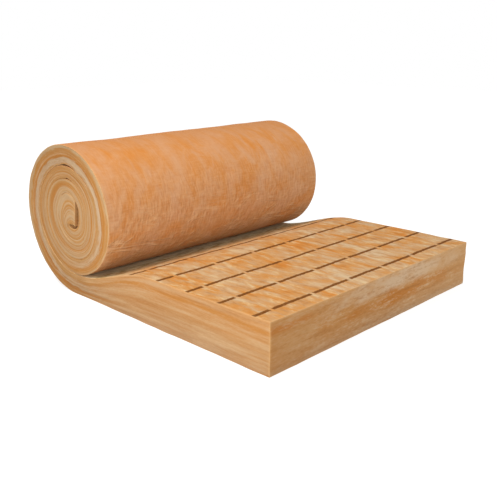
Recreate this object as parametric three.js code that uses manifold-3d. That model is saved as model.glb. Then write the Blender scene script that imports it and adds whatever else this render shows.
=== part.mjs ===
// A glass wool insulation blanket, partly unrolled.
//
// The blanket is one long strip of wool. One end is still wound up, squeezed to well under its
// full thickness, and the other end lies flat on the floor. Just past the roll the freed wool
// swells back to its full thickness.
//
// Everything is drawn as side outlines in the X-Z plane and extruded across the width. The turns
// are pressed into one solid body, and the slit between them shows as a spiral groove in each
// end. X runs along the strip, from the roll to the free end. Y runs across the strip and Z is
// up. Millimetres throughout. A place along the winding is given in turns: 0 where the strip
// lifts off the floor, a quarter at the roll's far side, a half at its top, and so on inwards.

import * as THREE from "three";
import { mergeVertices } from "three/addons/utils/BufferGeometryUtils.js";
import Module from "manifold-3d";

const wasm = await Module();
wasm.setup();

// ---------------------------------------------------------------- driving sizes

const BLANKET_WIDTH = 1200; // across the strip, the width it is cut and sold at
const FULL_THICKNESS = 180; // of the wool once it has recovered
const UNROLLED_LENGTH = 1068; // flat length, from the roll's axis to the free end

const TURNS = 3.6; // wound turns, from the lift-off line to the inner end
const INNER_END_RADIUS = 75; // from the core's axis to the outer corner of the inner end
const OUTER_TURN_THICKNESS = 87; // of the squeezed wool, in the first turn
const TIGHT_TURN_THICKNESS = 58; // in the second turn, which is wound tightest
const LOOSE_TURN_THICKNESS = 82; // in the third turn
const CORE_TURN_THICKNESS = 57; // around the core
const TURN_GAP = 1; // hairline between two turns that lie against each other
const GROOVE_DEPTH = 40; // how far the slit between the turns is open, from each end of the roll

const ROLL_SQUASH = 0.957; // the roll's height as a share of its width, under its own weight
const CORE_SHIFT = 4; // how far the core's axis lies from the roll's, towards the free end
const CORE_RISE = 12; // and how far it lies above it

const CONTACT_LENGTH = 40; // from the roll's axis to where the strip starts to swell
const RECOVERY_LENGTH = 450; // along which it swells back to its full thickness

const END_FACE_TURN = 0.69; // how far the inner end's cut face reaches back round the core
const END_FACE_CLEARANCE = 12; // between that face's inner corner and the turn under it
const CREASE_TURN = 0.55; // how far back the inner end is folded hard against itself
const CREASE_ARCH = 12; // rise of the folded wool over the core opening

const STEPS_PER_TURN = 48; // facets in one turn
const RECOVERY_STEPS = 16; // facets in the swelling stretch
const CREASE_STEPS = 8; // facets in the fold

// Wound thickness of the strip, and where along the winding it is reached.
const woundThicknesses = [
  { turn: 0.73, thickness: OUTER_TURN_THICKNESS },
  { turn: 0.96, thickness: TIGHT_TURN_THICKNESS },
  { turn: 1.8, thickness: TIGHT_TURN_THICKNESS },
  { turn: 2.3, thickness: LOOSE_TURN_THICKNESS },
  { turn: 2.5, thickness: CORE_TURN_THICKNESS },
];

// Slits near the top of the roll, where a turn has sagged clear of the one around it.
const sagSlits = [
  { turn: 1.505, span: 0.13, opening: 5 },
  { turn: 2.505, span: 0.08, opening: 4 },
  { turn: 3.42, span: 0.12, opening: 5 },
];

// Stretch of the winding over which the axis drifts from the roll's to the core's.
const AXIS_DRIFT_FROM = 0.5;
const AXIS_DRIFT_UNTIL = 2.75;

const { lerp, smoothstep } = THREE.MathUtils;

// ---------------------------------------------------------------- winding

// Thickness of the squeezed strip, eased from each stated thickness to the next.
function woundThickness(turn) {
  let thickness = woundThicknesses[0].thickness;
  for (let i = 1; i < woundThicknesses.length; i++) {
    const eased = smoothstep(turn, woundThicknesses[i - 1].turn, woundThicknesses[i].turn);
    thickness = lerp(thickness, woundThicknesses[i].thickness, eased);
  }
  return thickness;
}

// How far the outer face has come in from its radius at the lift-off line. The first turn is an
// Archimedean spiral, and every later turn lies inside the one before it.
function dropFromLiftOff(turn) {
  if (turn <= 1) return turn * (woundThickness(0) + TURN_GAP);
  return dropFromLiftOff(turn - 1) + woundThickness(turn - 1) + TURN_GAP;
}

const LIFT_OFF_RADIUS = INNER_END_RADIUS + dropFromLiftOff(TURNS);

function outerRadius(turn) {
  return LIFT_OFF_RADIUS - dropFromLiftOff(turn);
}

// Clear distance between a turn's outer face and the turn around it.
function gapOutside(turn) {
  const openings = sagSlits.map(({ turn: middle, span, opening }) => {
    const closing = smoothstep(Math.abs(turn - middle), 0, span / 2);
    return opening * (1 - closing);
  });
  return TURN_GAP + Math.max(...openings);
}

// The point at a radius from the winding's axis. The roll's own axis is at x = 0 and the floor
// is at z = 0.
function rollPoint(turn, radius) {
  const angle = 2 * Math.PI * turn;
  const drift = smoothstep(turn, AXIS_DRIFT_FROM, AXIS_DRIFT_UNTIL);
  const x = CORE_SHIFT * drift - radius * Math.sin(angle);
  const z = CORE_RISE * drift + ROLL_SQUASH * (LIFT_OFF_RADIUS - radius * Math.cos(angle));
  return new THREE.Vector2(x, z);
}

function outerFacePoint(turn) {
  return rollPoint(turn, outerRadius(turn));
}

// The inner face follows the outer face of the next turn in, and goes on past the inner end as
// the wall of the core opening.
function innerFacePoint(turn) {
  return rollPoint(turn + 1, outerRadius(turn + 1) + gapOutside(turn + 1));
}

// Points along one face, evenly spaced, with both ends.
function facePoints(fromTurn, toTurn, pointAt) {
  const steps = Math.ceil(Math.abs(toTurn - fromTurn) * STEPS_PER_TURN);
  return Array.from({ length: steps + 1 }, (_, i) => pointAt(lerp(fromTurn, toTurn, i / steps)));
}

// ---------------------------------------------------------------- inner end

// The inner end: a straight cut face, then wool folded back over the core opening to a crease.
function innerEndPoints() {
  const cornerTurn = TURNS - END_FACE_TURN;
  const archTurn = TURNS - (END_FACE_TURN + CREASE_TURN) / 2;
  const wallRadius = (turn) => outerRadius(turn + 1) + TURN_GAP;
  const corner = rollPoint(cornerTurn, wallRadius(cornerTurn) - END_FACE_CLEARANCE);
  const arch = rollPoint(archTurn, wallRadius(archTurn) - END_FACE_CLEARANCE - CREASE_ARCH);
  const crease = innerFacePoint(TURNS - CREASE_TURN);
  return new THREE.QuadraticBezierCurve(corner, arch, crease).getPoints(CREASE_STEPS);
}

// ---------------------------------------------------------------- unrolled strip

// Height of the top face at a distance past the roll's axis, where nothing presses on it.
function recoveredHeight(x) {
  const squeezed = ROLL_SQUASH * woundThickness(0);
  const swell = smoothstep(x, CONTACT_LENGTH, CONTACT_LENGTH + RECOVERY_LENGTH);
  return lerp(squeezed, FULL_THICKNESS, swell);
}

// The top face starts pressed against the underside of the roll, and can't rise past it until
// it is clear of the roll's side.
function topFacePoints() {
  const underRoll = facePoints(1, 0.75, outerFacePoint).map(
    ({ x, y }) => new THREE.Vector2(x, Math.min(recoveredHeight(x), y - TURN_GAP)),
  );
  const clearOfRoll = underRoll.at(-1).x;
  const recovered = Math.max(CONTACT_LENGTH + RECOVERY_LENGTH, clearOfRoll);
  const xs = Array.from({ length: RECOVERY_STEPS }, (_, i) =>
    lerp(clearOfRoll, recovered, (i + 1) / RECOVERY_STEPS),
  );
  const beforeEnd = xs.filter((x) => x < UNROLLED_LENGTH);
  const pastRoll = [...beforeEnd, UNROLLED_LENGTH].map(
    (x) => new THREE.Vector2(x, recoveredHeight(x)),
  );
  return [...underRoll, ...pastRoll];
}

// ---------------------------------------------------------------- outlines

// The blanket from the side: along the floor, round the roll's skin to its underside, and back
// over the top of the unrolled strip.
function blanketOutline() {
  return [
    new THREE.Vector2(UNROLLED_LENGTH, 0),
    ...facePoints(0, 1, outerFacePoint),
    ...topFacePoints(),
  ];
}

// The slit between the turns, from the underside of the roll in to the inner end.
function slitOutline() {
  const mouth = 1 - 1 / STEPS_PER_TURN; // a step back, to open into the nip
  return [
    ...facePoints(mouth, TURNS, outerFacePoint),
    ...facePoints(TURNS - 1, mouth - 1, innerFacePoint),
  ];
}

// The opening left in the core, between the inner end and the turn around it.
function coreOutline() {
  return [
    outerFacePoint(TURNS),
    ...innerEndPoints(),
    ...facePoints(TURNS - CREASE_TURN, TURNS - 1, innerFacePoint).slice(1),
  ];
}

// ---------------------------------------------------------------- solid

// An outline carried across the strip, from one Y to another.
function extrudeAcross(outline, fromY, toY) {
  const geometry = new THREE.ExtrudeGeometry(new THREE.Shape(outline), {
    depth: toY - fromY,
    bevelEnabled: false,
  });
  geometry.rotateX(Math.PI / 2); // the outline's Y becomes Z, and its depth runs along -Y
  geometry.translate(0, toY, 0);
  return geometry;
}

function toManifold(geometry) {
  const bare = geometry.clone();
  bare.deleteAttribute("normal");
  bare.deleteAttribute("uv");
  const merged = mergeVertices(bare);
  return new wasm.Manifold(
    new wasm.Mesh({
      numProp: 3,
      vertProperties: new Float32Array(merged.attributes.position.array),
      triVerts: new Uint32Array(merged.index.array),
    }),
  );
}

function toGeometry(solid) {
  const { vertProperties, triVerts } = solid.getMesh();
  const geometry = new THREE.BufferGeometry();
  geometry.setAttribute("position", new THREE.BufferAttribute(vertProperties, 3));
  geometry.setIndex(new THREE.BufferAttribute(triVerts, 1));
  const faceted = geometry.toNonIndexed();
  faceted.computeVertexNormals();
  return faceted;
}

const woolMaterial = new THREE.MeshStandardMaterial({
  color: 0xd0995f,
  roughness: 0.95,
  metalness: 0,
});

function makeBlanket() {
  const edge = BLANKET_WIDTH / 2;
  const past = 1; // the cuts run out of the ends
  const cuts = [
    extrudeAcross(slitOutline(), edge - GROOVE_DEPTH, edge + past),
    extrudeAcross(slitOutline(), -edge - past, GROOVE_DEPTH - edge),
    extrudeAcross(coreOutline(), -edge - past, edge + past),
  ];
  const solid = cuts.reduce(
    (body, cut) => body.subtract(toManifold(cut)),
    toManifold(extrudeAcross(blanketOutline(), -edge, edge)),
  );
  const mesh = new THREE.Mesh(toGeometry(solid), woolMaterial);
  mesh.name = "wool_blanket";
  return mesh;
}

// The origin is on the floor, under the middle of the whole object.
const blanket = makeBlanket();
const bounds = new THREE.Box3().setFromObject(blanket);
blanket.position.x = -(bounds.min.x + bounds.max.x) / 2;

const insulationRoll = new THREE.Group();
insulationRoll.add(blanket);

export default insulationRoll;
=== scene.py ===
# %% [markdown]
# # A partly unrolled blanket of glass wool
#
# Glass wool is sold as one long strip, squeezed and wound into a roll. When the strapping is
# off, the outer end is rolled out on the floor and swells back to its full thickness. The
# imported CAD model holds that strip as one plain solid. It is loaded first, because every size
# and place below has to agree with it.

import math

import bpy
import numpy as np
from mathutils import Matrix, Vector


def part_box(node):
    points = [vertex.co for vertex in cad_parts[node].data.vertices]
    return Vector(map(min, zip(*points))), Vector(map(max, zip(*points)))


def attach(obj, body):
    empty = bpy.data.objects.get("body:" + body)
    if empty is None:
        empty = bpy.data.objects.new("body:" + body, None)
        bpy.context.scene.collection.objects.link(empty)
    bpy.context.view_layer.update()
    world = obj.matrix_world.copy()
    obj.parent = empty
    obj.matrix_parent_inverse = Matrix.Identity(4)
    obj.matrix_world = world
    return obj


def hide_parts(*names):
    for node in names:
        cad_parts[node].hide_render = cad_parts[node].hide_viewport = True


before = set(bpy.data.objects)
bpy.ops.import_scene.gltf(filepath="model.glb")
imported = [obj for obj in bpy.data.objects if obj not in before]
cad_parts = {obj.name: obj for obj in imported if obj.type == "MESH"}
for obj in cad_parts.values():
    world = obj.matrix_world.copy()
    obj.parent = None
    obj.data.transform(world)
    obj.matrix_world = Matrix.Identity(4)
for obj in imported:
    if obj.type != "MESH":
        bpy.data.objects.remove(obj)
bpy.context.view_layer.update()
cad_low, cad_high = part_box("wool_blanket")
print("CAD box, metres:", [round(c, 4) for c in (*cad_low, *cad_high)])

# %% [markdown]
# ## The camera
#
# Three things have to show at once: the wound end, the skin of the roll and the marked top face
# of the flat part. So the camera stands in front of the strip's free end and to one side, a
# little above the roll. Its lens is slightly longer than normal, which keeps the far edges from
# shrinking too much.

# %% Camera
CAMERA_PLACE = (1.9672, -2.0030, 0.9694)
CAMERA_YAW = 44.24  # degrees, from looking along +Y, turning towards -X
CAMERA_PITCH = 16.51  # degrees below the horizon
CAMERA_LENS = 50.33  # millimetres, on a sensor 36 mm wide

camera_data = bpy.data.cameras.new("camera")
camera_data.lens = CAMERA_LENS
camera_data.sensor_width = 36
camera = bpy.data.objects.new("camera", camera_data)
camera.location = CAMERA_PLACE
camera.rotation_euler = (math.radians(90 - CAMERA_PITCH), 0, math.radians(CAMERA_YAW))
bpy.context.scene.collection.objects.link(camera)
bpy.context.scene.camera = camera
bpy.context.scene.view_settings.view_transform = "Standard"
print("camera at", CAMERA_PLACE)

# %% [markdown]
# ## Colours and nodes
#
# Every colour is written as an sRGB hex value, as it would be picked on a screen. Blender's
# shaders work in linear light, so one function turns the one into the other. A material is a
# tree of nodes. One small function adds a node to it with its settings and its links, and all
# the trees below are made with it.

# %% From a screen colour to linear light
def linear(hex_colour):
    """The linear colour, with alpha, of an sRGB hex value such as "#d0995f"."""
    srgb = np.array([int(hex_colour[i : i + 2], 16) / 255 for i in (1, 3, 5)])
    curve = ((srgb + 0.055) / 1.055) ** 2.4
    return (*np.where(srgb <= 0.04045, srgb / 12.92, curve), 1.0)


print("the wool's mean colour in linear light:", np.round(linear("#d0995f"), 3))


# %% The function that adds a node
def add(tree, kind, inputs=None, stops=(), **settings):
    """Adds a node of that kind. settings are its properties, and stops the places and hex
    colours of a colour ramp. inputs maps a socket's name or number to a plain value, to a hex
    colour, to an output of another node, or to a node, whose first output in use is linked."""
    node = tree.nodes.new("ShaderNode" + kind)
    for name, value in settings.items():
        setattr(node, name, value)
    for i, (place, colour) in enumerate(stops):
        elements = node.color_ramp.elements
        element = elements[i] if i < len(elements) else elements.new(place)
        element.position = place
        element.color = linear(colour)
    for name, value in (inputs or {}).items():
        if isinstance(value, str):
            value = linear(value)
        if isinstance(value, bpy.types.Node):
            value = next(output for output in value.outputs if output.enabled)
        if isinstance(value, bpy.types.NodeSocket):
            tree.links.new(value, node.inputs[name])
        else:
            node.inputs[name].default_value = value
    return node


def new_material(name):
    """A material with an empty tree of nodes, and the tree."""
    material = bpy.data.materials.new(name)
    material.use_nodes = True
    material.node_tree.nodes.clear()
    return material, material.node_tree


print("kinds of node to pick from:", sum(n.startswith("ShaderNode") for n in dir(bpy.types)))

# %% [markdown]
# ## The lamps
#
# Wool has no gloss, so what shapes it is the fall of light: the top and the near edge of the
# strip face the key lamp, the free end is turned away from it, and the wedge under the roll
# goes dark. The key lamp hangs high up on the left. A larger and softer fill stands behind the
# camera. A small sun would draw hard shadows that a hall full of wool doesn't have.

# %% Lamps
LAMPS_AIM = (0, 0, 0.2)  # the middle of the object, where both lamps point


def area_lamp(name, place, size, power, hex_colour):
    """A square area lamp at a place, in metres and watts. It is turned so that its back points
    away from the aim: first by the lean off the vertical, then by the compass direction."""
    data = bpy.data.lights.new(name, "AREA")
    data.size = size
    data.energy = power
    data.color = linear(hex_colour)[:3]
    away = np.array(place) - np.array(LAMPS_AIM)
    lean = math.atan2(math.hypot(away[0], away[1]), away[2])
    lamp = bpy.data.objects.new(name, data)
    lamp.location = place
    lamp.rotation_euler = (lean, 0, math.atan2(away[0], -away[1]))
    bpy.context.scene.collection.objects.link(lamp)
    return lamp


key = area_lamp("key", (-0.9, -1.8, 4.2), size=1.2, power=80, hex_colour="#fffaf2")
fill = area_lamp("fill", (3.2, -3.2, 1.7), size=2.0, power=80, hex_colour="#ffffff")
print("lamps:", [(lamp.name, lamp.data.energy, "W") for lamp in (key, fill)])

# %% [markdown]
# ## The sky and the floor
#
# The background is plain white. Lamps turned up until the floor clips would spoil the wool, so
# the white is told by the kind of ray instead. A ray from the camera, or one that a gloss or a
# glass sends on, finds a white sky and a floor of white paper with a little glow. All other
# rays find a dimmer sky and matt paper, so the wool is lit plainly and the floor still takes
# its shadow.

# %% Sky
SKY_LIGHT = 0.53  # strength of the sky as a light
SKY_SEEN = 1.0  # strength at which it looks white


def seen_rays(tree):
    """1 for a ray that shows the background, the largest of its three kinds, and 0 for others."""
    rays = add(tree, "LightPath").outputs
    direct = {0: rays["Is Camera Ray"], 1: rays["Is Glossy Ray"]}
    seen = add(tree, "Math", direct, operation="MAXIMUM")
    return add(tree, "Math", {0: seen, 1: rays["Is Transmission Ray"]}, operation="MAXIMUM")


world = bpy.data.worlds.new("sky")
world.use_nodes = True
world.node_tree.nodes.clear()
bpy.context.scene.world = world
tree = world.node_tree
strength = add(tree, "MapRange", {0: seen_rays(tree), 3: SKY_LIGHT, 4: SKY_SEEN})
sky = add(tree, "Background", {"Color": "#ffffff", "Strength": strength})
add(tree, "OutputWorld", {"Surface": sky})
print("sky:", SKY_LIGHT, "as a light and", SKY_SEEN, "to the camera")

# %% Floor of white paper
FLOOR_HALF = 12.0  # wide enough to fill the view from every side
FLOOR_DROP = 0.0005  # keeps the wool's relief clear of it
PAPER_GLOW = 0.75  # with half of the light it gets, this comes out white


def flat_sheet(name, half, height):
    """A level square sheet: its corners lie at plus and minus half, all at one height."""
    square = [(-half, -half), (half, -half), (half, half), (-half, half)]
    corners = [(x, y, height) for x, y in square]
    mesh = bpy.data.meshes.new(name)
    mesh.from_pydata(corners, [], [(0, 1, 2, 3)])
    sheet = bpy.data.objects.new(name, mesh)
    bpy.context.scene.collection.objects.link(sheet)
    return sheet


floor = flat_sheet("floor", FLOOR_HALF, -FLOOR_DROP)
paper, tree = new_material("white_paper")
matt = add(tree, "BsdfDiffuse", {"Color": "#e4e2df"})
lit = add(tree, "BsdfDiffuse", {"Color": (0.5, 0.5, 0.5, 1)})
glow = add(tree, "Emission", {"Color": "#ffffff", "Strength": PAPER_GLOW})
white = add(tree, "AddShader", {0: lit, 1: glow})
mixed = add(tree, "MixShader", {0: seen_rays(tree), 1: matt, 2: white})
add(tree, "OutputMaterial", {"Surface": mixed})
floor.data.materials.append(paper)
print("floor", 2 * FLOOR_HALF, "m square")

# %% [markdown]
# ## The winding
#
# A place along the wound part is counted in turns from the line where the strip lifts off the
# floor: a quarter at the far side, a half at the top, one at the bottom again. The first turn
# is an Archimedean spiral. Each later turn lies inside the one before it, so its radius is that
# turn's radius less the squeezed thickness and a hairline gap. The roll could be drawn as rings,
# but a real one has a single slit that winds inwards. Working in turns also keeps the CAD solid
# and this surface the same everywhere, because both use the same rule.

# %% Thickness of the squeezed wool
WIDTH = 1.2
FULL_THICKNESS = 0.18
TURNS = 3.6
HAIRLINE = 0.001  # allowed for between two turns

# Wound thickness, and the turn at which it is reached.
WOUND = [(0.73, 0.087), (0.96, 0.058), (1.8, 0.058), (2.3, 0.082), (2.5, 0.057)]


def ease(x, start, end):
    """0 before start, 1 after end, and 3t² - 2t³ between, t being the share of the way."""
    t = np.clip((x - start) / (end - start), 0, 1)
    return t * t * (3 - 2 * t)


def wound_thickness(turn):
    """The squeezed thickness, eased from each stated value to the next."""
    thickness = np.full_like(turn, WOUND[0][1])
    for (start, _), (end, value) in zip(WOUND, WOUND[1:]):
        thickness = thickness + (value - thickness) * ease(turn, start, end)
    return thickness


print("thickness at 0, 1, 2 and 3 turns, m:", wound_thickness(np.arange(4.0)).round(4))

# %% Radius of the winding
INNER_END_RADIUS = 0.075


def drop(turn):
    """How far the outer face has come in since the lift-off line. In the first turn it grows
    evenly, and after that it is the drop one turn earlier plus one thickness and a gap."""
    first = np.clip(turn, None, 1) * (WOUND[0][1] + HAIRLINE)
    if turn.max() <= 1:
        return first
    before = np.clip(turn - 1, 0, None)
    return np.where(turn <= 1, first, drop(before) + wound_thickness(before) + HAIRLINE)


LIFT_OFF_RADIUS = INNER_END_RADIUS + float(drop(np.array([TURNS]))[0])


def outer_radius(turn):
    """Radius of the outer face: the one at the lift-off line less the drop since."""
    return LIFT_OFF_RADIUS - drop(turn)


print("roll radius at the lift-off line:", round(LIFT_OFF_RADIUS, 4), "m")

# %% Slits near the top, where a turn has sagged
GAP_LEFT = 0.0001  # what soft wool leaves of the hairline
# Middle and span of each slit in turns, and how far it opens.
SLITS = [(1.505, 0.115, 0.0060), (2.505, 0.08, 0.0045), (3.42, 0.11, 0.0026)]


def gap_outside(turn):
    """What is left of the hairline plus the widest slit there. A slit's opening falls off to
    nothing at half its span, on the same curve as ease."""
    openings = [
        depth * (1 - ease(np.abs(turn - middle), 0, span / 2)) for middle, span, depth in SLITS
    ]
    return GAP_LEFT + np.max(openings, axis=0)


print("slits at turns", [middle for middle, _, _ in SLITS])

# %% Points of the winding
FLAT_LENGTH = 1.068  # from the roll's axis to the free end
AXIS_X = cad_high.x - FLAT_LENGTH  # where the roll's axis lies in the frame
SQUASH = 0.957  # the roll's height over its width
CORE_DRIFT = np.array([0.004, 0.012])  # of the winding's axis, from the skin to the core
DRIFT_FROM, DRIFT_UNTIL = 0.5, 2.75  # turns between which it drifts


def roll_point(turn, radius):
    """(x, z) at a turn and radius: a circle's point, flattened in z, about an axis that drifts
    from the roll's own to the core's."""
    angle = 2 * np.pi * turn
    share = ease(turn, DRIFT_FROM, DRIFT_UNTIL)
    x = AXIS_X + CORE_DRIFT[0] * share - radius * np.sin(angle)
    z = CORE_DRIFT[1] * share + SQUASH * (LIFT_OFF_RADIUS - radius * np.cos(angle))
    return np.stack([x, z], -1)


def outer_face(turn):
    """The face that was outermost when the strip was wound."""
    return roll_point(turn, outer_radius(turn))


def inner_face(turn):
    """The other face, which follows the outer face of the next turn in."""
    return roll_point(turn + 1, outer_radius(turn + 1) + gap_outside(turn + 1))


print("top of the roll:", outer_face(np.array([0.5]))[0].round(4), "m")

# %% [markdown]
# ## Two rails
#
# The strip runs between two rails, one for each of its faces. Both are long lists of points
# that are matched up by the distance along the strip. On the flat part one rail is the floor and
# the other is the recovered top face, which can't rise past the underside of the roll. On the
# wound part they are the two spirals. At the very end the inner rail leaves the core's wall at a
# crease and swings back to the corner of the cut end. One rail with a thickness would be less
# work, but then neighbouring turns wouldn't quite meet.

# %% Top face of the flat part
CONTACT_LENGTH = 0.04  # from the roll's axis to where the strip starts to swell
RECOVERY_LENGTH = 0.45  # along which it swells back


def recovered_height(x):
    """Height of the free top face: the squeezed thickness, eased up to the full one."""
    squeezed = SQUASH * WOUND[0][1]
    swelling = ease(x - AXIS_X, CONTACT_LENGTH, CONTACT_LENGTH + RECOVERY_LENGTH)
    return squeezed + (FULL_THICKNESS - squeezed) * swelling


def top_face(x):
    """The top face of the flat part: the recovered height, or the roll's underside if lower."""
    underside = outer_face(np.linspace(1, 0.75, 400))
    ceiling = np.interp(x, underside[:, 0], underside[:, 1] - HAIRLINE, right=np.inf)
    return np.minimum(recovered_height(x), ceiling)


print("height at the free end:", float(top_face(np.array([cad_high.x]))[0]), "m")

# %% Fold of the inner end
END_FACE_TURN = 0.69  # how far the cut face of the inner end reaches back round the core
END_FACE_CLEARANCE = 0.012  # between its corner and the turn under it
CREASE_TURN = 0.55  # how far back the inner end is folded hard against itself
CREASE_ARCH = 0.012  # rise of the folded wool over the core opening


def end_fold(share):
    """The inner rail past the crease: a quadratic Bezier curve to the corner of the cut end."""
    back = np.array([CREASE_TURN, (END_FACE_TURN + CREASE_TURN) / 2, END_FACE_TURN])
    turns = TURNS - back
    walls = outer_radius(turns + 1) + HAIRLINE
    rise = np.array([0, END_FACE_CLEARANCE + CREASE_ARCH, END_FACE_CLEARANCE])
    crease, arch, corner = roll_point(turns, walls - rise)
    t = share[:, None]
    return (1 - t) ** 2 * crease + 2 * t * (1 - t) * arch + t**2 * corner


print("the fold ends at", end_fold(np.array([1.0]))[0].round(4), "m")

# %% Rails of the whole strip
flat_x = np.linspace(cad_high.x, AXIS_X, 800)[:-1]
wound_turns = np.linspace(0, TURNS, 3000)
outer_rail = np.concatenate(
    [np.stack([flat_x, np.zeros_like(flat_x)], -1), outer_face(wound_turns)]
)
folded = wound_turns > TURNS - CREASE_TURN
inner_wound = inner_face(wound_turns)
inner_wound[folded] = end_fold((wound_turns[folded] - TURNS + CREASE_TURN) / CREASE_TURN)
inner_rail = np.concatenate([np.stack([flat_x, top_face(flat_x)], -1), inner_wound])

# Distance along the strip, measured on the outer rail: the skin is what keeps its length.
steps = np.linalg.norm(np.diff(outer_rail, axis=0), axis=1)
rail_length = np.concatenate([[0], np.cumsum(steps)])
STRIP_LENGTH = rail_length[-1]
rail_turn = np.concatenate([np.full_like(flat_x, -1), wound_turns])


def along(distance, rail):
    """Points of a rail at distances along the strip, read off between its own points."""
    columns = [np.interp(distance, rail_length, rail[:, i]) for i in range(rail.shape[1])]
    return np.stack(columns, -1)


print("strip length:", round(STRIP_LENGTH, 3), "m on its outer face")

# %% [markdown]
# ## A box of wool
#
# Before it is bent, the strip is a box: s runs along it, y across it and w through its
# thickness. The surface is a ring of points round the box's section, repeated along the strip,
# and a grid over each end. A solid that is bent by a modifier would do for a sketch, but a
# surface that is worked out point by point can have more points where it needs them: near the
# edges, where the wool is rounded, and near the core, where it bends sharply.

# %% Where the rings of points lie
EDGE_STEPS = np.array([0, 0.0009, 0.0026, 0.007, 0.014])  # from an edge inwards
EDGE_ZONE = 0.024  # from an edge to where the even steps begin
LONG_STEP = 0.0112
SIDE_STEP = 0.0125
CORE_STEPS_PER_TURN = 40
SHORT_OF_CORE = 0.03
SHORT_OF_END = 0.02
# Shares of the thickness, closer together near both faces.
rows = np.array(
    [0, 0.012, 0.035, 0.09, 0.17, 0.26, 0.35, 0.45, 0.55, 0.65, 0.74, 0.83, 0.91, 0.965, 0.988, 1]
)


def crowded(start, end, step):
    """Even places between two edges, with the edge steps at both."""
    count = int(round((end - start - 2 * EDGE_ZONE) / step)) + 1
    inner = np.linspace(start + EDGE_ZONE, end - EDGE_ZONE, count)
    return np.concatenate([start + EDGE_STEPS, inner, (end - EDGE_STEPS)[::-1]])


# Each run of stations stops a little short of where the next one starts.
first_turn_end = np.interp(1.0, rail_turn, rail_length)
outer_stations = crowded(0, first_turn_end, LONG_STEP)
outer_stations = outer_stations[outer_stations < first_turn_end - SHORT_OF_CORE]
core_turns = np.linspace(1.0, TURNS, int((TURNS - 1) * CORE_STEPS_PER_TURN))
core_stations = np.interp(core_turns, rail_turn, rail_length)
core_stations = core_stations[core_stations < STRIP_LENGTH - SHORT_OF_END]
stations = np.concatenate([outer_stations, core_stations, (STRIP_LENGTH - EDGE_STEPS)[::-1]])
columns = crowded(-WIDTH / 2, WIDTH / 2, SIDE_STEP)
n_s, n_y, n_w = len(stations), len(columns), len(rows)
print("grid:", n_s, "stations along,", n_y, "across and", n_w, "through")

# %% Points of the box
# A ring runs across the outer face, through at the far side, back over the inner face and
# through again at the near side.
around = 2 * (n_y - 1) + 2 * (n_w - 1)
ring_y = np.concatenate(
    [columns[:-1], np.full(n_w - 1, columns[-1]), columns[:0:-1], np.full(n_w - 1, columns[0])]
)
ring_w = np.concatenate([np.zeros(n_y - 1), rows[:-1], np.ones(n_y - 1), rows[:0:-1]])

sweep = np.empty((n_s, around, 3))
sweep[..., 0] = stations[:, None]
sweep[..., 1] = ring_y
sweep[..., 2] = ring_w

cap_y, cap_w = np.meshgrid(columns[1:-1], rows[1:-1], indexing="ij")
caps = [
    np.stack([np.full(cap_y.size, s), cap_y.ravel(), cap_w.ravel()], -1)
    for s in (0, STRIP_LENGTH)
]
box_points = np.concatenate([sweep.reshape(-1, 3), *caps])
print("box:", around, "points in a ring,", len(box_points), "points in all")


# %% Faces of the box
def sweep_faces():
    """Quads between neighbouring rings, wound so that they face out."""
    i, k = np.meshgrid(np.arange(n_s - 1), np.arange(around), indexing="ij")
    here, beside = i * around + k, i * around + (k + 1) % around
    return np.stack([here, here + around, beside + around, beside], -1).reshape(-1, 4)


def cap_faces(first_ring, first_inner, flip):
    """Quads over one end. Its rim is the ring there, and the rest are points of its own."""
    index = np.empty((n_y, n_w), int)
    index[:, 0] = np.arange(n_y)
    index[-1, :] = n_y - 1 + np.arange(n_w)
    index[:, -1] = n_y + n_w - 2 + np.arange(n_y)[::-1]
    index[0, 1:] = (2 * n_y + n_w - 3 + np.arange(n_w)[::-1])[1:] % around
    index += first_ring
    inner = np.arange((n_y - 2) * (n_w - 2)).reshape(n_y - 2, n_w - 2)
    index[1:-1, 1:-1] = first_inner + inner
    quads = np.stack([index[:-1, :-1], index[1:, :-1], index[1:, 1:], index[:-1, 1:]], -1)
    quads = quads.reshape(-1, 4)
    return quads[:, ::-1] if flip else quads


swept = sweep_faces()
free_cap = cap_faces(0, n_s * around, False)
core_cap = cap_faces((n_s - 1) * around, n_s * around + len(caps[0]), True)
quads = np.concatenate([swept, free_cap, core_cap])
print("faces:", len(quads), "quads,", 2 * len(quads), "triangles")

# %% [markdown]
# ## Rounding and relief
#
# Cut wool has no sharp edge: its fibres fray and round it off. A Bevel modifier would do that,
# but here the same step also gives the direction for the relief. Each point of the box is moved
# to the nearest point of a slightly smaller box and then pushed out again by the edge radius.
# On a flat side that changes nothing, and along an edge it gives a round. The push has the
# direction that the surface faces, so the relief of the wool is simply added to it: gentle
# swells, and the uneven ends of the turns.

# %% Round the edges
EDGE_RADIUS = 0.0020

box_ends = [along(box_points[:, 0], rail) for rail in (inner_rail, outer_rail)]
thickness = np.linalg.norm(box_ends[0] - box_ends[1], axis=1)
solid_points = box_points * np.array([1, 1, 0])
solid_points[:, 2] = box_points[:, 2] * thickness

full = [np.full_like(thickness, STRIP_LENGTH), np.full_like(thickness, WIDTH), thickness]
half = np.stack(full, -1) / 2
centre = np.stack([half[:, 0], np.zeros_like(thickness), half[:, 2]], -1)
shrunk = centre + np.clip(solid_points - centre, EDGE_RADIUS - half, half - EDGE_RADIUS)
facing = solid_points - shrunk
facing /= np.linalg.norm(facing, axis=1, keepdims=True)
print("edge radius, mm:", EDGE_RADIUS * 1000)

# %% Where each kind of surface shows
# The relief fades out where faces press on each other, so that no turn pushes into the next.
point_turn = np.interp(box_points[:, 0], rail_length, rail_turn)
leaves_floor = ease(point_turn, 0.02, 0.12)
meets_strip = ease(point_turn, 0.88, 0.98)
goes_under_roll = ease(box_points[:, 0], 0.80, 0.98)  # metres from the free end

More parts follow.
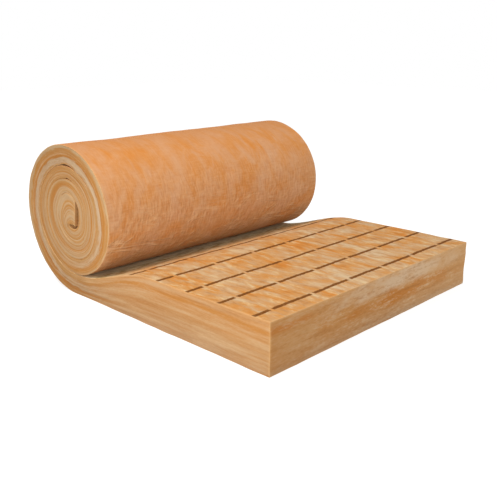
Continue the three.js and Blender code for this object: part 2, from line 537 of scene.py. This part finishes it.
on_skin = np.abs(np.minimum(facing[:, 2], 0)) * leaves_floor * (1 - meets_strip)
on_top = np.maximum(facing[:, 2], 0) * (1 - goes_under_roll)
on_sides = np.abs(facing[:, 1])
on_ends = np.abs(facing[:, 0])
print("points that show on the skin:", int((on_skin > 0.5).sum()))
print("points that show on the top:", int((on_top > 0.5).sum()))


# %% Relief
def swell(points, size, seed, waves=18):
    """Smooth noise of about unit height: a sum of plane cosine waves in random directions, with
    wavelengths near the three given sizes."""
    dice = np.random.default_rng(seed)
    directions = dice.normal(size=(waves, 3))
    directions /= np.linalg.norm(directions, axis=1, keepdims=True)
    frequency = 2 * np.pi * directions * dice.uniform(0.6, 1.6, (waves, 1)) / np.array(size)
    phase = dice.uniform(0, 2 * np.pi, waves)
    return np.cos(points @ frequency.T + phase).sum(1) * math.sqrt(2 / waves) * 0.7


RELIEF_LIMIT = 0.004
# Where, how high, how long along, across and through, and the seed. All in metres.
SWELLS = [
    (on_skin, 0.0007, (0.30, 0.45, 1), 1),
    (on_skin, 0.0006, (0.07, 0.12, 1), 2),
    (on_top, 0.0006, (0.35, 0.30, 1), 3),
    (on_top, 0.0005, (0.12, 0.05, 1), 4),
    (on_sides, 0.0012, (0.30, 1, 0.09), 5),
    (on_sides, 0.0006, (0.12, 1, 0.02), 6),
    (on_ends, 0.0010, (1, 0.30, 0.10), 7),
    (on_ends, 0.0006, (1, 0.10, 0.02), 8),
]
relief = np.zeros(len(solid_points))
for where, height, size, seed in SWELLS:
    relief += where * height * swell(solid_points, size, seed)
relief = np.clip(relief, -RELIEF_LIMIT, RELIEF_LIMIT)
print("relief, mm:", (relief.min() * 1000).round(2), "to", (relief.max() * 1000).round(2))

# %% Bend the box along the rails
# A point's share through the thickness puts it between the two rails at its distance along.
formed = shrunk + facing * (EDGE_RADIUS + relief)[:, None]
share_through = (formed[:, 2] / thickness)[:, None]
outer_xz = along(formed[:, 0], outer_rail)
inner_xz = along(formed[:, 0], inner_rail)
xz = outer_xz + (inner_xz - outer_xz) * share_through
past_free_end = np.minimum(formed[:, 0], 0)  # the rails have no point there
vertices = np.stack([xz[:, 0] - past_free_end, formed[:, 1], xz[:, 1]], -1)
print("bent box, metres:", vertices.min(0).round(4), "to", vertices.max(0).round(4))

# %% [markdown]
# ## The mesh
#
# Each point keeps its place in the unbent strip as an attribute, with the thickness written as
# if the wool were not squeezed. The materials read that, so a layer of the wool stays one layer
# all the way round the winding and is drawn out thin where the wool is squeezed. A second
# attribute tells how near an edge is, where the colour is painted paler: partly pale frayed
# fibres, partly a painted highlight. Edges between two turns are pressed flat, so they hardly
# have any.

# %% Build the mesh
def mesh_from(name, vertices, quads):
    """A smooth-shaded mesh from arrays of points and quads."""
    mesh = bpy.data.meshes.new(name)
    mesh.vertices.add(len(vertices))
    mesh.vertices.foreach_set("co", vertices.astype(np.float32).ravel())
    mesh.loops.add(quads.size)
    mesh.loops.foreach_set("vertex_index", quads.astype(np.int32).ravel())
    mesh.polygons.add(len(quads))
    mesh.polygons.foreach_set("loop_start", np.arange(0, quads.size, 4, dtype=np.int32))
    mesh.polygons.foreach_set("use_smooth", np.ones(len(quads), bool))
    mesh.update(calc_edges=True)
    mesh.validate()
    return mesh


mesh = mesh_from("wool_blanket_soft", vertices, quads)
blanket = bpy.data.objects.new("wool_blanket_soft", mesh)
bpy.context.scene.collection.objects.link(blanket)
print("blanket:", len(mesh.vertices), "points,", len(mesh.polygons), "faces")

# %% Attributes that the materials read
# The paler edges are partly frayed fibres and partly a painted highlight.
FRAY_DEPTH = 0.0028  # over which the pale fray and the painted highlight fade from an edge
CORE_FRAY_DEPTH = 0.008  # the same at the inner end, where both are wider
PRESSED_FRAY = 0.15  # share of it that is left between two turns

unbent = box_points * np.array([1, 1, FULL_THICKNESS])
unbent_data = mesh.attributes.new("unbent", "FLOAT_VECTOR", "POINT").data
unbent_data.foreach_set("vector", unbent.astype(np.float32).ravel())

# The second smallest distance to a side is the distance to the nearest edge.
to_edge = np.sort(half - np.abs(solid_points - centre), axis=1)[:, 1]
at_core = box_points[:, 0] > STRIP_LENGTH - 0.1
# Painted highlight and pale fray, fading from each edge, and mostly left out between turns.
fray_and_highlight = np.exp(-to_edge / np.where(at_core, CORE_FRAY_DEPTH, FRAY_DEPTH))
inside = (point_turn > 0.15) & ((point_turn > 1) | (box_points[:, 2] > 0.5))
fray_and_highlight[inside & (box_points[:, 0] < STRIP_LENGTH - 0.05)] *= PRESSED_FRAY
edge_data = mesh.attributes.new("edge", "FLOAT", "POINT").data
edge_data.foreach_set("value", fray_and_highlight.astype(np.float32))
print("attributes:", [name for name in mesh.attributes.keys() if name in ("unbent", "edge")])

# %% Which finish each face gets
SKIN, FACE, SAWN, KNIFED = range(4)
ring_part = np.repeat([SKIN, SAWN, FACE, SAWN], [n_y - 1, n_w - 1, n_y - 1, n_w - 1])
end_part = np.full(len(free_cap) + len(core_cap), KNIFED)
parts = np.concatenate([np.tile(ring_part, n_s - 1), end_part])
mesh.polygons.foreach_set("material_index", parts.astype(np.int32))
print("faces of skin, face, sides and ends:", np.bincount(parts))

# %% [markdown]
# ## Glass wool
#
# Glass wool is spun from molten glass. Its fibres are sprayed with a brown binder, laid down on
# a moving belt and baked, so the wool is a felt in layers. All four finishes below are that
# wool, and they differ in how each surface was made. A picture of wool could be wrapped round
# the mesh, but it would stretch round the core and blur from close by. Noise that reads the
# unbent place does neither. A fibre is a few thousandths of a millimetre thick, far too fine to
# show, so the finest noise stands for tufts of fibres, 4 to 22 mm in size.

# %% Noise in the unbent strip
def unbent_axes(tree):
    """Distances along, across and through the unbent strip, in metres."""
    unbent = add(tree, "Attribute", attribute_name="unbent").outputs["Vector"]
    return add(tree, "SeparateXYZ", {0: unbent}).outputs


def clouds(tree, size_mm, detail=4, roughness=0.55, distortion=0.0, start=(0, 0, 0), tilt=0):
    """Noise from 0 to 1 whose blobs are about size_mm along, across and through the strip. It
    begins at start, and tilt turns it, in degrees, in the plane of the strip."""
    place = {
        "Vector": add(tree, "Attribute", attribute_name="unbent").outputs["Vector"],
        "Location": start,
        "Rotation": (0, 0, math.radians(tilt)),
        "Scale": tuple(mm / 1000 for mm in size_mm),
    }
    noise = {
        "Vector": add(tree, "Mapping", place, vector_type="TEXTURE"),
        "Scale": 1.0,
        "Detail": detail,
        "Roughness": roughness,
        "Distortion": distortion,
    }
    return add(tree, "TexNoise", noise)


print("places a noise can read:", len(mesh.attributes["unbent"].data))

# %% Sums, tints and the wool itself
FRAY_AND_HIGHLIGHT_HUE = "#ebbd84"  # pale frayed fibres and a painted highlight at an edge
FRAY_AND_HIGHLIGHT_SHARE = 0.45


def weighed(tree, *parts):
    """The sum of some values, each times its weight."""
    total = 0.0
    for value, weight in parts:
        total = add(tree, "Math", {0: value, 1: weight, 2: total}, operation="MULTIPLY_ADD")
    return total


def tint(tree, colour, hue, value, start, full, most=1.0):
    """A colour with another hue laid over it by a value. The share of that hue grows evenly,
    from nothing where the value is start to most where it is full, and is held there. Map
    Range's sockets are a value, the two ends of its range, and what those become."""
    share = add(tree, "MapRange", {0: value, 1: start, 2: full, 4: most})
    return add(tree, "Mix", {0: share, 6: colour, 7: hue}, data_type="RGBA")


def wool_shader(tree, colour, height, depth_mm):
    """Closes a finish with the shader that all of them share. Glass has an IOR of 1.5, which is
    the default, but its fibres scatter the light until no gloss is left: the roughness is near
    1, the specular level near 0, and a little sheen stands for fibres that stick out. height,
    from 0 to 1, is drawn as bumps depth_mm deep."""
    # The paler edge is partly frayed fibres and partly a painted highlight.
    near_edge = add(tree, "Attribute", attribute_name="edge").outputs["Fac"]
    bumps = {"Height": height, "Strength": 1.0, "Distance": depth_mm / 1000}
    wool = {
        "Base Color": tint(tree, colour, FRAY_AND_HIGHLIGHT_HUE, near_edge, 0, 1, FRAY_AND_HIGHLIGHT_SHARE),
        "Roughness": 0.92,
        "Specular IOR Level": 0.08,
        "Sheen Weight": 0.03,
        "Sheen Roughness": 0.6,
        "Normal": add(tree, "Bump", bumps),
    }
    add(tree, "OutputMaterial", {"Surface": add(tree, "BsdfPrincipled", wool)})


# The hue of the paler edges: pale fray and painted highlight.
print("hue of loose fibres in linear light:", np.round(linear(FRAY_AND_HIGHLIGHT_HUE), 3))

# %% [markdown]
# ### Sawn sides
#
# Saws trim the wool to its width while it moves along on the belt, so its two sides show the
# layers as long streaks, cream where the binder is thin and ochre where it is thick. Round the
# ends of the roll they become rings. The rings could be painted turn by turn, but a ramp of
# colours through the thickness follows the winding by itself. It is broken up by lines 19 mm
# thick, flecks of 22 mm, streaks of 8 mm and tufts of 4 mm.

# %% Colours through the thickness
# From the skin, at 0, to the upper face, at 1. The wound ramp starts 0.3 of a thickness below
# the skin, because its layers wander up and down.
FLAT_BANDS = [
    (0.00, "#b9906a"),
    (0.15, "#c19568"),
    (0.42, "#c99966"),
    (0.72, "#cf9c68"),
    (0.77, "#cc8d4a"),
    (0.82, "#cb8c4a"),
    (0.87, "#d39d66"),
    (1.00, "#d0975f"),
]
WOUND_BANDS = [
    (0.00, "#d2b187"),
    (0.13, "#d6b387"),
    (0.19, "#d09652"),
    (0.28, "#d1934d"),
    (0.37, "#ce8c44"),
    (0.46, "#ca863f"),
    (0.51, "#d0ab84"),
    (0.61, "#dcbf9d"),
    (0.69, "#d5b08a"),
    (0.75, "#cd9756"),
    (0.88, "#cf9f65"),
    (1.00, "#d3ac7b"),
]
WOUND_RAMP_START = -0.3
print("bands:", len(FLAT_BANDS), "on the flat part and", len(WOUND_BANDS), "on the roll")

# %% Bands of the sawn sides
WOUND_LOOK = 0.75, 1.15  # metres from the free end, where the flat look gives way to the wound

sawn, tree = new_material("glass_wool_sawn")
s, _, w = unbent_axes(tree)[:3]
bends = clouds(tree, (260, 180, 70), detail=2)
bent = add(tree, "MapRange", {0: bends, 1: 0.25, 2: 0.75, 3: -0.06, 4: 0.06})
through = weighed(tree, (w, 1 / FULL_THICKNESS), (bent, 1))
flat_colour = add(tree, "ValToRGB", {0: through}, stops=FLAT_BANDS)

# On the roll the layers climb away from the skin up the far side, and sink back by less than
# half of that down the near side. Lines and flecks push them about, so no ring is clean.
lines = clouds(tree, (650, 400, 19), detail=2, roughness=0.6, start=(5, 0, 0))
wander = add(tree, "MapRange", {0: lines, 1: 0.25, 2: 0.75, 3: -0.11, 4: 0.11})
flecks = clouds(tree, (45, 30, 22), detail=3, roughness=0.65, start=(7, 4, 0))
ragged = add(tree, "MapRange", {0: flecks, 1: 0.25, 2: 0.75, 3: -0.12, 4: 0.12})
climb = add(tree, "MapRange", {0: s, 1: 1.0, 2: 1.5, 3: 0, 4: 0.3})
sink = add(tree, "MapRange", {0: s, 1: 2.0, 2: 2.5, 3: 0, 4: 0.12})
layer = weighed(tree, (through, 1), (wander, 1), (ragged, 1), (climb, -1), (sink, 1))
layer = add(tree, "MapRange", {0: layer, 1: WOUND_RAMP_START, 2: 1.0})
wound_colour = add(tree, "ValToRGB", {0: layer}, stops=WOUND_BANDS)
colour = tint(tree, flat_colour, wound_colour, s, *WOUND_LOOK)
print("nodes so far:", len(tree.nodes))

# %% Core and painted shade of the wound ends
# Nearer the core the bands blur and single lines take over.
INNER_TURNS = 2.5, 3.0
colour = tint(tree, colour, "#cd9b60", s, *INNER_TURNS, 0.65)
lined = add(tree, "MapRange", {0: s, 1: INNER_TURNS[0], 2: INNER_TURNS[1], 3: 0.15, 4: 0.60})
colour = tint(tree, colour, "#d6ba97", lines, 0.50, 0.60, lined)
colour = tint(tree, colour, "#cb853a", lines, 0.48, 0.38, lined)

# Painted shade on the ends: darker away from mid height and towards lower x, least on the near
# side at mid height. With z and x in metres the share is 0.3 + 7 (z - 0.3)² - (x - AXIS_X), and
# the shade hue is multiplied in.
SHADE_ZONE = 0.62, 1.00  # metres from the free end, where this sets in
x, _, z = add(tree, "SeparateXYZ", {0: add(tree, "TexCoord").outputs["Object"]}).outputs[:3]
off_middle = add(tree, "Math", {0: z, 1: 0.3}, operation="SUBTRACT")
squared = add(tree, "Math", {0: off_middle, 1: off_middle}, operation="MULTIPLY")
painted_shade = weighed(tree, (squared, 7), (x, -1), (1, 0.3 + AXIS_X))
squeezed = add(tree, "MapRange", {0: s, 1: SHADE_ZONE[0], 2: SHADE_ZONE[1]})
painted_shade = add(tree, "Math", {0: squeezed, 1: painted_shade}, operation="MULTIPLY")
inputs = {0: painted_shade, 6: colour, 7: "#d2cec6"}
colour = add(tree, "Mix", inputs, data_type="RGBA", blend_type="MULTIPLY")
print("nodes so far:", len(tree.nodes))

# %% Streaks of the sawn sides
layers = clouds(tree, (420, 260, 20), detail=3, distortion=0.2, start=(2, 0, 0))
streaks = clouds(tree, (130, 70, 8), roughness=0.6, start=(3, 0, 0))
tufts = clouds(tree, (16, 16, 4), detail=3, roughness=0.6, start=(0, 5, 0))
binder = weighed(tree, (layers, 0.40), (streaks, 0.38), (tufts, 0.22))
colour = tint(tree, colour, "#dcbb92", binder, 0.50, 0.66, 0.64)
colour = tint(tree, colour, "#b57638", binder, 0.50, 0.34, 0.64)
wool_shader(tree, colour, weighed(tree, (tufts, 0.5), (streaks, 0.5)), depth_mm=1.6)
print(sawn.name, "has", len(tree.nodes), "nodes")

# %% [markdown]
# ### Knife-cut end
#
# A knife chopped the strip to its length, across the belt. The layers run away from the eye
# there, so they show as ragged clouds instead of streaks. Where the binder was sprayed unevenly
# they have patches: a pale one above a brown one near the middle, a thin brown band above a
# cream one near the corner at y = -0.6. The finish of the sides would look combed on this face,
# so it has noise of its own, 170 mm across and 16 mm through, and tufts of 6 mm. It is browner
# towards that corner and lighter towards the other.

# %% Patches of the knife-cut end
PATCH_RIM, PATCH_HEART = 1.3, 0.4  # half sizes from a patch's middle, where it starts and is full
# Middle and half size of each patch, across and through, in metres, its hue and its share.
PATCHES = [
    ((0.14, 0.146), (0.44, 0.036), "#d6b896", 1.0),
    ((0.17, 0.084), (0.42, 0.026), "#bf7c38", 1.0),
    ((-0.54, 0.146), (0.17, 0.013), "#c4772f", 1.0),
    ((-0.49, 0.075), (0.11, 0.050), "#d2ae80", 0.7),
]


def off_patch(tree, middle, half_size, waver):
    """How far a place on the cut end is from the middle of an oval patch: the length of the
    offset across and through, each in half sizes, plus a noise that makes the rim uneven."""
    unbent = add(tree, "Attribute", attribute_name="unbent").outputs["Vector"]
    scale = 1 / np.array(half_size)
    inputs = {0: unbent, 1: (0, *scale), 2: (0, *(-scale * middle))}
    offset = add(tree, "VectorMath", inputs, operation="MULTIPLY_ADD")
    distance = add(tree, "VectorMath", {0: offset}, operation="LENGTH")
    uneven = add(tree, "MapRange", {0: waver, 1: 0.2, 2: 0.8, 3: -0.9, 4: 0.9})
    return weighed(tree, (distance, 1), (uneven, 1))


knifed, tree = new_material("glass_wool_knifed")
_, y, w = unbent_axes(tree)[:3]
waver = clouds(tree, (300, 110, 45), detail=4, roughness=0.6, start=(0, 1, 0))
bent = add(tree, "MapRange", {0: waver, 1: 0.25, 2: 0.75, 3: -0.08, 4: 0.08})
through = weighed(tree, (w, 1 / FULL_THICKNESS), (bent, 1))
bands = [
    (0.00, "#bd9d7c"),
    (0.14, "#c3976a"),
    (0.45, "#c48f57"),
    (0.85, "#c99862"),
    (1.00, "#cf9f6a"),
]
colour = add(tree, "ValToRGB", {0: through}, stops=bands)
for middle, half_size, hue, share in PATCHES:
    patch = off_patch(tree, middle, half_size, waver)
    colour = tint(tree, colour, hue, patch, PATCH_RIM, PATCH_HEART, share)
print("patches on the knife-cut end:", len(PATCHES))

# %% Clouds of the knife-cut end
layers = clouds(tree, (300, 170, 16), detail=4, start=(0, 4, 0))
tufts = clouds(tree, (16, 22, 6), detail=3, roughness=0.65, start=(0, 7, 0))
binder = weighed(tree, (layers, 0.55), (tufts, 0.45))
colour = tint(tree, colour, "#dabf9c", binder, 0.51, 0.66, 0.8)
colour = tint(tree, colour, "#a26b36", binder, 0.49, 0.34, 0.75)
# The corners are at y -0.6 and 0.6.
colour = tint(tree, colour, "#a8743f", y, 0.2, -0.6, 0.65)
colour = tint(tree, colour, "#dcab75", y, 0.1, 0.6, 0.5)
wool_shader(tree, colour, weighed(tree, (tufts, 0.6), (layers, 0.4)), depth_mm=2.0)
print(knifed.name, "has", len(tree.nodes), "nodes")

# %% [markdown]
# ### Marked face
#
# The upper face wasn't cut. It is the felt as it left the oven, seen flat, so its fibres lie in
# streaks drawn out along the belt, about 34 mm wide, with tufts of 8 mm. Dashed lines are
# printed across it as a guide for the knife on site. They could be a picture on a UV map. Here
# they are worked out from the place on the strip, so their edges stay sharp and a noise can
# make them ragged, as ink is on wool. Near the roll the face is still squeezed, and there it is
# dull and mottled, and painted greyer and paler as painted light in the roll's shade. Right where
# the two faces meet, a painted bounce light stands for light thrown back by the skin.

# %% Ink of the marks
MARK_FIRST = 0.0682  # from the free end to the middle of the first mark
MARK_PITCH = 0.1543  # between marks along the strip
MARK_WIDTH = 0.014
DASH_PITCH = 0.2
DASH_GAP = 0.012
DASH_START = -0.52  # y of the middle of the first gap
INK_WOBBLE = 0.009  # how far the ink's edge is pushed about
INK_INSIDE, INK_OUTSIDE = 0.001, 0.002  # over which an edge of ink fades
INK_SPREAD = 0.0035  # added to each side of the mark next to the roll
SPREAD_ZONE = 0.60, 0.66  # metres from the free end, over which that sets in


def mark_ink(tree):
    """How much ink there is: 1 on the dashed lines, with ragged edges, and 0 off them. PINGPONG
    folds a distance back and forth, so it is 0 at each mark and rises to both sides."""
    unbent = add(tree, "Attribute", attribute_name="unbent").outputs["Vector"]
    ragged = clouds(tree, (12, 12, 12), detail=2, roughness=0.5).outputs["Color"]
    push = add(tree, "VectorMath", {0: ragged, 1: (0.5, 0.5, 0.5)}, operation="SUBTRACT")
    inputs = {0: push, 1: (INK_WOBBLE,) * 3, 2: unbent}
    pushed = add(tree, "VectorMath", inputs, operation="MULTIPLY_ADD")
    s, y = add(tree, "SeparateXYZ", {0: pushed}).outputs[:2]
    from_first = add(tree, "Math", {0: s, 1: MARK_FIRST}, operation="SUBTRACT")
    off_mark = add(tree, "Math", {0: from_first, 1: MARK_PITCH / 2}, operation="PINGPONG")
    spread = add(tree, "MapRange", {0: s, 1: SPREAD_ZONE[0], 2: SPREAD_ZONE[1], 4: INK_SPREAD})
    off_mark = add(tree, "Math", {0: off_mark, 1: spread}, operation="SUBTRACT")
    from_start = add(tree, "Math", {0: y, 1: DASH_START}, operation="SUBTRACT")
    off_gap = add(tree, "Math", {0: from_start, 1: DASH_PITCH / 2}, operation="PINGPONG")
    fade = np.array([-INK_INSIDE, INK_OUTSIDE])
    low, high = MARK_WIDTH / 2 + fade
    line = add(tree, "MapRange", {0: off_mark, 1: low, 2: high, 3: 1, 4: 0})
    low, high = DASH_GAP / 2 + fade
    dash = add(tree, "MapRange", {0: off_gap, 1: low, 2: high})
    return add(tree, "Math", {0: line, 1: dash}, operation="MULTIPLY")


marks = int((FLAT_LENGTH - MARK_FIRST) / MARK_PITCH) + 1
print("marks on the flat part:", marks, "of", round(WIDTH / DASH_PITCH), "dashes")

# %% Wool of the marked face
face, tree = new_material("glass_wool_face")
s = unbent_axes(tree)[0]
patches = clouds(tree, (240, 150, 200), detail=3, start=(0, 3, 0))
streaks = clouds(tree, (105, 34, 60), detail=5, roughness=0.62, distortion=0.6)
tufts = clouds(tree, (14, 8, 8), detail=3, roughness=0.65, start=(0, 2, 0))
binder = weighed(tree, (patches, 0.5), (streaks, 0.5))
hues = [(0.38, "#d68735"), (0.46, "#d59754"), (0.52, "#d2a16e"), (0.60, "#d9ba92")]
colour = add(tree, "ValToRGB", {0: binder}, stops=hues)
thin_streaks = clouds(tree, (80, 26, 60), distortion=0.3, start=(6, 0, 0))
pale = weighed(tree, (thin_streaks, 0.75), (tufts, 0.25))
colour = tint(tree, colour, "#ead09f", pale, 0.53, 0.68, 0.8)
colour = tint(tree, colour, "#b37639", pale, 0.47, 0.34, 0.6)
print("nodes so far:", len(tree.nodes))

# %% Where the roll presses on the marked face
# Mottled from 0.68 m on, and less so inside the roll, past 1.12 m. Its greyer, paler hues are
# partly the squeezed wool and partly painted light in the roll's shade.
mottle = clouds(tree, (24, 55, 20), detail=3, start=(0, 9, 0))
mottle_and_painted_light = tint(tree, "#a8904f", "#e9e2b6", mottle, 0.40, 0.62)
squeezed = add(tree, "MapRange", {0: s, 1: 1.12, 2: 1.30, 3: 0.9, 4: 0.2})
colour = tint(tree, colour, mottle_and_painted_light, s, 0.68, 0.90, squeezed)
# Painted bounce light where the two faces meet, standing for light thrown back by the skin.
painted_bounce = add(tree, "MapRange", {0: s, 1: 1.08, 2: 1.14, 3: 0.9, 4: 0})
colour = tint(tree, colour, "#fbeecb", s, 0.91, 1.00, painted_bounce)

# The ink is thinner on standing tufts, and it has rubbed off where the roll lies on it.
worn = add(tree, "MapRange", {0: tufts, 1: 0.3, 2: 0.5, 3: 0.85, 4: 1.0})
rubbed = add(tree, "MapRange", {0: s, 1: 0.72, 2: 0.82, 3: 1, 4: 0.1})
ink = mark_ink(tree)
for left_over in (worn, rubbed):
    ink = add(tree, "Math", {0: ink, 1: left_over}, operation="MULTIPLY")
colour = tint(tree, colour, "#7a460c", ink, 0, 1)
wool_shader(tree, colour, weighed(tree, (tufts, 0.6), (streaks, 0.4)), depth_mm=2.0)
print(face.name, "has", len(tree.nodes), "nodes")

# %% [markdown]
# ### Skin
#
# The skin is the outside of the roll, the face that lay on the belt. The oven pressed it against
# a mesh belt, so it is smoother and pinker than cut wool and has a crossed grain, about 7 mm
# from wire to wire. The real mesh is finer, and is drawn as coarse as it needs to show. The skin
# is stretched smooth over the top, puckers where the side sags and creases next to the floor.
# Puckers and creases could be sculpted, but at 5 to 50 mm they would take millions of triangles,
# so they are drawn as bumps, with painted light on their rises and painted shade in their
# hollows.

# %% Zones of the skin
ROLL_TOP = 2.0  # metres along the strip, on top of the roll
SIDE_ZONE = 0.22, 0.46  # metres down from there, where it starts to sag
LOW_ZONE = 0.36, 0.52  # and where it starts to crease

skin, tree = new_material("glass_wool_skin")
s = unbent_axes(tree)[0]
from_top = add(tree, "Math", {0: s, 1: ROLL_TOP}, operation="SUBTRACT")
below_top = add(tree, "Math", {0: from_top}, operation="ABSOLUTE")
side = add(tree, "MapRange", {0: below_top, 1: SIDE_ZONE[0], 2: SIDE_ZONE[1]})
# The far side, which comes before the top, creases less.
creased = add(tree, "MapRange", {0: s, 1: 1.6, 2: 2.2, 3: 0.35, 4: 1})
low = add(tree, "MapRange", {0: below_top, 1: LOW_ZONE[0], 2: LOW_ZONE[1], 4: creased})
# Underneath, where it faces the floor, it sags less again.
sagging = add(tree, "MapRange", {0: below_top, 1: 0.50, 2: 0.72, 3: 1, 4: 0.25})
sagging = add(tree, "Math", {0: side, 1: sagging}, operation="MULTIPLY")
print("roll top", ROLL_TOP, "m along, of", round(STRIP_LENGTH, 2))

# %% Colour of the skin
# Streaks lie round the roll where it was wound tight, and hang slanting where it drapes.
tight = clouds(
    tree, (170, 52, 60), detail=3, roughness=0.45, distortion=0.5, start=(1, 8, 0), tilt=10
)
draped = clouds(
    tree, (150, 70, 60), detail=3, roughness=0.45, distortion=0.4, start=(4, 1, 0), tilt=-45
)
streaks = add(tree, "Mix", {0: low, 2: tight, 3: draped})
broad = clouds(tree, (300, 230, 90), detail=2, distortion=0.4, start=(7, 1, 0))
binder = weighed(tree, (broad, 0.4), (streaks, 0.6))
hues = [(0.36, "#da9f70"), (0.46, "#da9b67"), (0.53, "#da9558"), (0.63, "#dc8e45")]
colour = add(tree, "ValToRGB", {0: binder}, stops=hues)
# Browner on top, paler where the side sags, browner again towards the floor.
colour = tint(tree, colour, "#c9854a", below_top, 0.18, 0.02, 0.65)
colour = tint(tree, colour, "#d5ab83", sagging, 0, 1, 0.35)
colour = tint(tree, colour, "#bb8650", below_top, 0.38, 0.60, 0.45)
print("nodes so far:", len(tree.nodes))

# %% Blotches of the skin
# Where the belt gave the wool more binder or less there are blotches of 105 to 150 mm. On top,
# where the skin is stretched, they are faint.
drifts = clouds(
    tree, (150, 105, 60), detail=4, roughness=0.60, distortion=0.6, start=(9, 4, 0), tilt=-35
)
drifted = add(tree, "MapRange", {0: below_top, 1: 0.06, 2: 0.26, 3: 0.2, 4: 1})
colour = tint(tree, colour, "#d88a3c", drifts, 0.51, 0.64, weighed(tree, (drifted, 0.52)))
colour = tint(tree, colour, "#deb08c", drifts, 0.49, 0.36, weighed(tree, (drifted, 0.38)))
# Painted bounce light: paler in the nip, standing for light thrown back by the marked face.
painted_bounce = add(tree, "MapRange", {0: s, 1: 2.92, 2: 2.98, 3: 0.9, 4: 0})
colour = tint(tree, colour, "#f8dcb0", s, 2.76, 2.85, painted_bounce)
print("nodes so far:", len(tree.nodes))

# %% Belt grain of the skin
round_grain = clouds(tree, (36, 7, 30), detail=2, start=(2, 2, 0))
cross_grain = clouds(tree, (7, 50, 30), detail=2, start=(5, 2, 0))
grain = weighed(tree, (round_grain, 0.6), (cross_grain, 0.4))
grained = add(tree, "MapRange", {0: side, 3: 0.3, 4: 1})
grain_share = weighed(tree, (grained, 0.36))
# The grain's rises are painted paler and its hollows darker: partly its own tone, partly painted
# light and shade on its relief.
colour = tint(tree, colour, "#ebbd8e", grain, 0.5, 0.62, grain_share)
colour = tint(tree, colour, "#bd7238", grain, 0.5, 0.38, grain_share)
print("grain every 7 mm, so", round(WIDTH / 0.007), "across the strip")

# %% Puckers of the skin
# 46 mm long and 13 mm wide, gathered in some areas more than in others.
puckers = clouds(tree, (46, 13, 30), detail=2, distortion=0.5, start=(3, 9, 0), tilt=-14)
puckers = add(tree, "MapRange", {0: puckers, 1: 0.36, 2: 0.64, 3: -1, 4: 1})
areas = clouds(tree, (110, 150, 90), detail=1, start=(8, 8, 0))
gathered = add(tree, "MapRange", {0: areas, 1: 0.40, 2: 0.60, 3: 0.25, 4: 1})
gathered = add(tree, "Math", {0: sagging, 1: gathered}, operation="MULTIPLY")
puckers = add(tree, "Math", {0: puckers, 1: gathered}, operation="MULTIPLY")
# Painted light on the puckers' rises and painted shade in their hollows.
colour = tint(tree, colour, "#f0c79c", puckers, 0, 1, 0.25)
colour = tint(tree, colour, "#b3703c", puckers, 0, -1, 0.24)
print("nodes so far:", len(tree.nodes))


# %% Creases of the skin
def creases(tree, size_mm, tilt, start, area_start):
    """Thin ridges where a noise crosses its middle value, in some areas and not in others."""
    noise = clouds(tree, size_mm, detail=1.5, distortion=0.3, start=start, tilt=tilt)
    off_middle = add(tree, "Math", {0: noise, 1: 0.5}, operation="SUBTRACT")
    off_middle = add(tree, "Math", {0: off_middle}, operation="ABSOLUTE")
    areas = clouds(tree, (90, 170, 90), detail=1, start=area_start)
    shown = add(tree, "MapRange", {0: areas, 1: 0.46, 2: 0.60})
    return add(tree, "MapRange", {0: off_middle, 1: 0.005, 2: 0.032, 3: shown, 4: 0})


level = creases(tree, (40, 360, 60), -6, (0, 2, 0), (1, 0, 0))
slanted = creases(tree, (170, 34, 60), -55, (0, 6, 0), (3, 0, 0))
folds = add(tree, "Math", {0: level, 1: slanted}, operation="MAXIMUM")
folds = add(tree, "Math", {0: folds, 1: low}, operation="MULTIPLY")
# Painted highlight along the crease ridges.
colour = tint(tree, colour, "#f2c797", folds, 0, 1, 0.55)
# The grain is drawn flatter low down, where the light grazes it and would make it coarse.
grain_height = add(tree, "MapRange", {0: low, 3: 0.35, 4: 0.20})
grain_height = add(tree, "Math", {0: grained, 1: grain_height}, operation="MULTIPLY")
height = weighed(tree, (grain, grain_height), (puckers, 0.08), (folds, 0.30))
wool_shader(tree, colour, height, depth_mm=7.0)
print(skin.name, "has", len(tree.nodes), "nodes")

# %% Give the mesh its finishes
for material in (skin, face, sawn, knifed):
    mesh.materials.append(material)
print("finishes:", [material.name for material in mesh.materials])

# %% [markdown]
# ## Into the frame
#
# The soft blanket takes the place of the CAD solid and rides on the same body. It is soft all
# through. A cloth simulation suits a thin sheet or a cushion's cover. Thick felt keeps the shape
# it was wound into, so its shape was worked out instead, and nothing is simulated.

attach(blanket, "root")
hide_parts("wool_blanket")
print("declared:", blanket.name)
